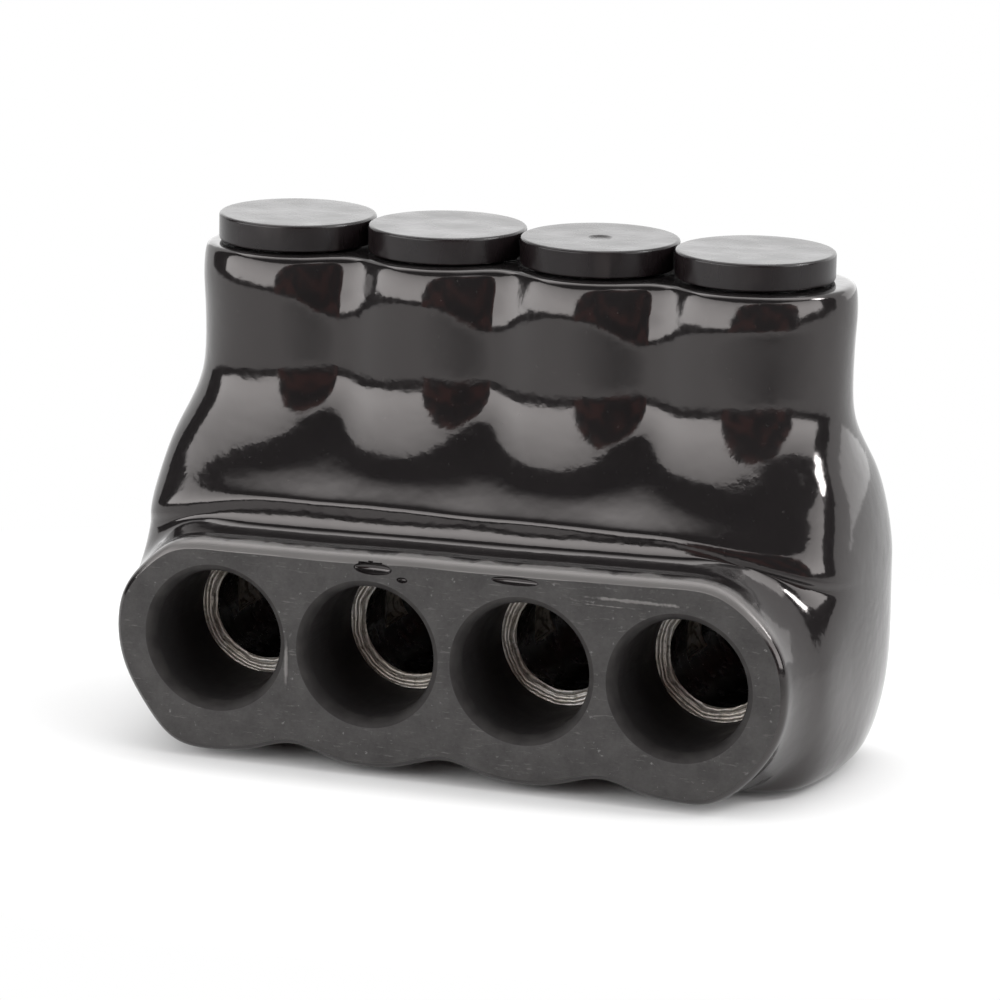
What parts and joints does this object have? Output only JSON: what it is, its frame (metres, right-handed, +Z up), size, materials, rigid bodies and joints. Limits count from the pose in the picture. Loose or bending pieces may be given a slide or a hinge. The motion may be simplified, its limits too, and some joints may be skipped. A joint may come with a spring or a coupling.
{
  "type": "insulated multi-tap connector",
  "caption": "Insulated multi-tap cable connector with one row of ports, set screws and pull-off access plugs.",
  "frame": {"origin": "middle of the flat base, under the middle of the port row", "axes": "+X along the row of ports, -Y out of the port mouths, +Z up towards the access plugs"},
  "size_m": [0.1052, 0.047, 0.0722],
  "materials": {
    "jacket": "gloss",
    "plugs": "matte",
    "block": "satin",
    "screws": "satin"
  },
  "bodies": {
    "root": {"insulating_jacket": "jacket", "connector_block": "block"},
    "screw_1": {"set_screw_1": "screws"},
    "screw_2": {"set_screw_2": "screws"},
    "screw_3": {"set_screw_3": "screws"},
    "screw_4": {"set_screw_4": "screws"},
    "plug_1": {"access_plug_1": "plugs"},
    "plug_2": {"access_plug_2": "plugs"},
    "plug_3": {"access_plug_3": "plugs"},
    "plug_4": {"access_plug_4": "plugs"}
  },
  "joints": [
    {"name": "screw_1_drive", "type": "slide", "parent": "root", "child": "screw_1", "axis": [0, 0, -1], "range_m": [0, 0.011]},
    {"name": "screw_2_drive", "type": "slide", "parent": "root", "child": "screw_2", "axis": [0, 0, -1], "range_m": [0, 0.011]},
    {"name": "screw_3_drive", "type": "slide", "parent": "root", "child": "screw_3", "axis": [0, 0, -1], "range_m": [0, 0.011]},
    {"name": "screw_4_drive", "type": "slide", "parent": "root", "child": "screw_4", "axis": [0, 0, -1], "range_m": [0, 0.011]},
    {"name": "plug_1_pull", "type": "slide", "parent": "root", "child": "plug_1", "axis": [0, 0, 1], "range_m": [0, 0.03]},
    {"name": "plug_2_pull", "type": "slide", "parent": "root", "child": "plug_2", "axis": [0, 0, 1], "range_m": [0, 0.03]},
    {"name": "plug_3_pull", "type": "slide", "parent": "root", "child": "plug_3", "axis": [0, 0, 1], "range_m": [0, 0.03]},
    {"name": "plug_4_pull", "type": "slide", "parent": "root", "child": "plug_4", "axis": [0, 0, 1], "range_m": [0, 0.03]}
  ]
}
